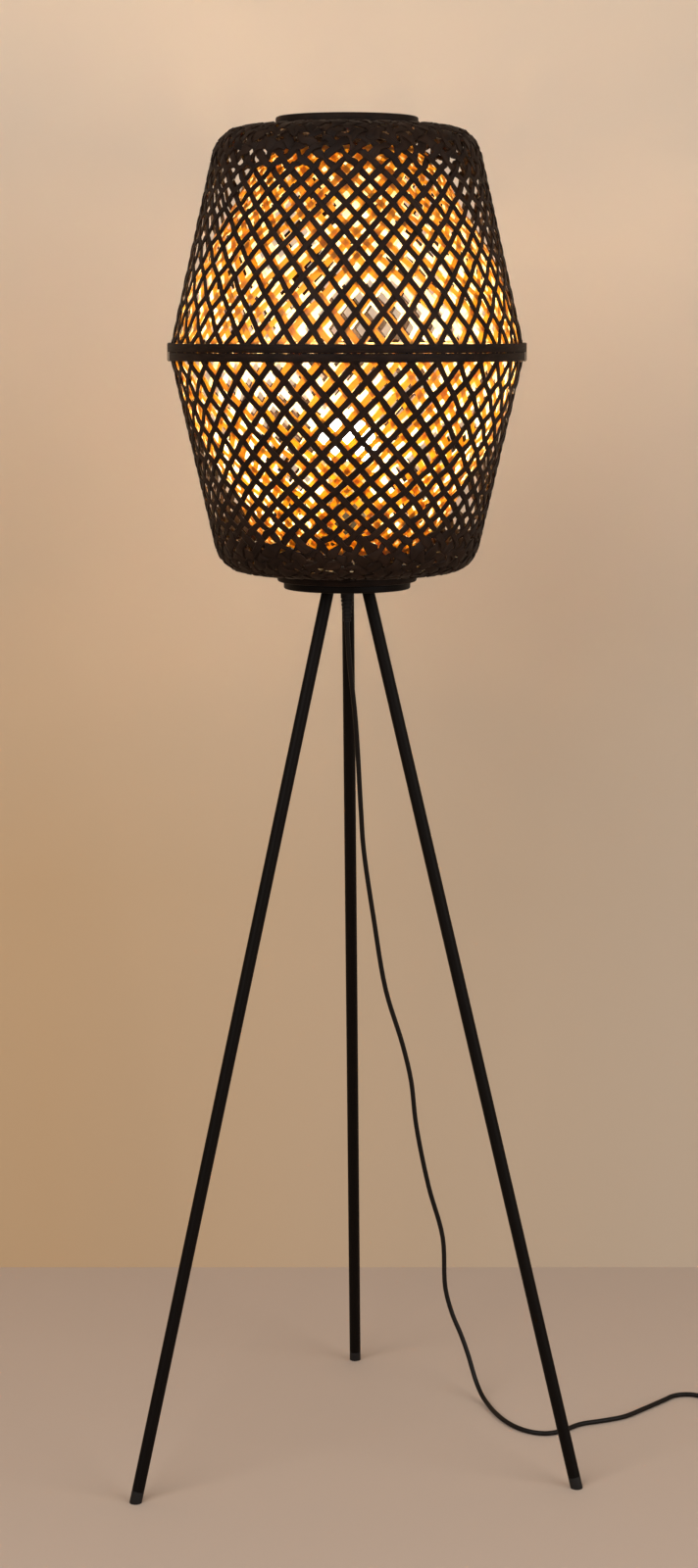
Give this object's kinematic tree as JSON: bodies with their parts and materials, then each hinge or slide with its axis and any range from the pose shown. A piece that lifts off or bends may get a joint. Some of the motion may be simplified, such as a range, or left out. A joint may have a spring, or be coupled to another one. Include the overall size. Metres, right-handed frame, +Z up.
{
  "type": "floor lamp",
  "caption": "Floor lamp with a rounded two-layer woven rattan shade on a slender splayed steel tripod, with a bulb, foot switch, cord and plug.",
  "frame": {"origin": "on the floor, under the middle of the lamp's outer size without its cord; the lamp's own axis stands at x -0.0108, y -0.0441", "axes": "+Z up along the lamp's axis; the pictured front faces -Y, with the cord leaving to +X"},
  "size_m": [0.8209, 0.451, 1.4],
  "materials": {
    "black_rattan": "black-stained split rattan, satin",
    "natural_rattan": "natural bamboo strips, warm honey colour, slightly translucent",
    "black_steel": "satin black powder coat",
    "zinc_steel": "zinc-plated steel",
    "black_rubber": "matt black rubber or PVC",
    "black_plastic": "satin black plastic",
    "brass": "plain brass",
    "white_plastic": "white plastic",
    "opal_plastic": "opal white diffuser",
    "blue_wire": "blue wire insulation",
    "brown_wire": "brown wire insulation"
  },
  "bodies": {
    "lamp": {"outer_basket_upper": "black_rattan", "outer_basket_lower": "black_rattan", "outer_hoop_upper": "black_rattan", "outer_hoop_lower": "black_rattan", "hoop_tie_right": "black_rattan", "hoop_tie_back": "black_rattan", "hoop_tie_left": "black_rattan", "upper_collar": "black_rattan", "lower_collar": "black_rattan", "inner_basket_upper": "natural_rattan", "inner_basket_lower": "natural_rattan", "inner_hoop_upper": "natural_rattan", "inner_hoop_lower": "natural_rattan", "inner_end_ring_upper": "natural_rattan", "inner_end_ring_lower": "natural_rattan", "leg_back": "black_steel", "leg_left": "black_steel", "leg_right": "black_steel", "base_dish": "black_steel", "tripod_hub": "black_steel", "shade_spider": "black_steel", "leg_stud_back": "zinc_steel", "leg_stud_left": "zinc_steel", "leg_stud_right": "zinc_steel", "spider_screw_1": "zinc_steel", "spider_screw_2": "zinc_steel", "spider_screw_3": "zinc_steel", "nipple": "zinc_steel", "nipple_washer": "zinc_steel", "nipple_nut": "zinc_steel", "bulb_cap": "zinc_steel", "switch_spring": "zinc_steel", "switch_screw_1": "zinc_steel", "switch_screw_2": "zinc_steel", "foot_plug_back": "black_rubber", "foot_plug_left": "black_rubber", "foot_plug_right": "black_rubber", "strain_relief": "black_rubber", "cord_in_stem": "black_rubber", "mains_cord": "black_rubber", "cord_coil": "black_rubber", "holder_cap": "black_plastic", "holder_body": "black_plastic", "switch_base": "black_plastic", "switch_cover": "black_plastic", "plug_body": "black_plastic", "screw_shell": "brass", "centre_contact": "brass", "terminal_screw_neutral": "brass", "terminal_screw_live": "brass", "switch_contact": "brass", "plug_pin_1": "brass", "plug_pin_2": "brass", "terminal_block": "white_plastic", "bulb_housing": "white_plastic", "led_plate": "white_plastic", "bulb_globe": "opal_plastic", "lead_neutral": "blue_wire", "lead_live": "brown_wire"},
    "button": {"switch_button": "black_plastic"}
  },
  "joints": [
    {"name": "switch_press", "type": "slide", "parent": "lamp", "child": "button", "axis": [0, 0, -1], "range_m": [0, 0.003], "stiffness_N_per_m": 400, "deforming": ["switch_spring"]}
  ]
}
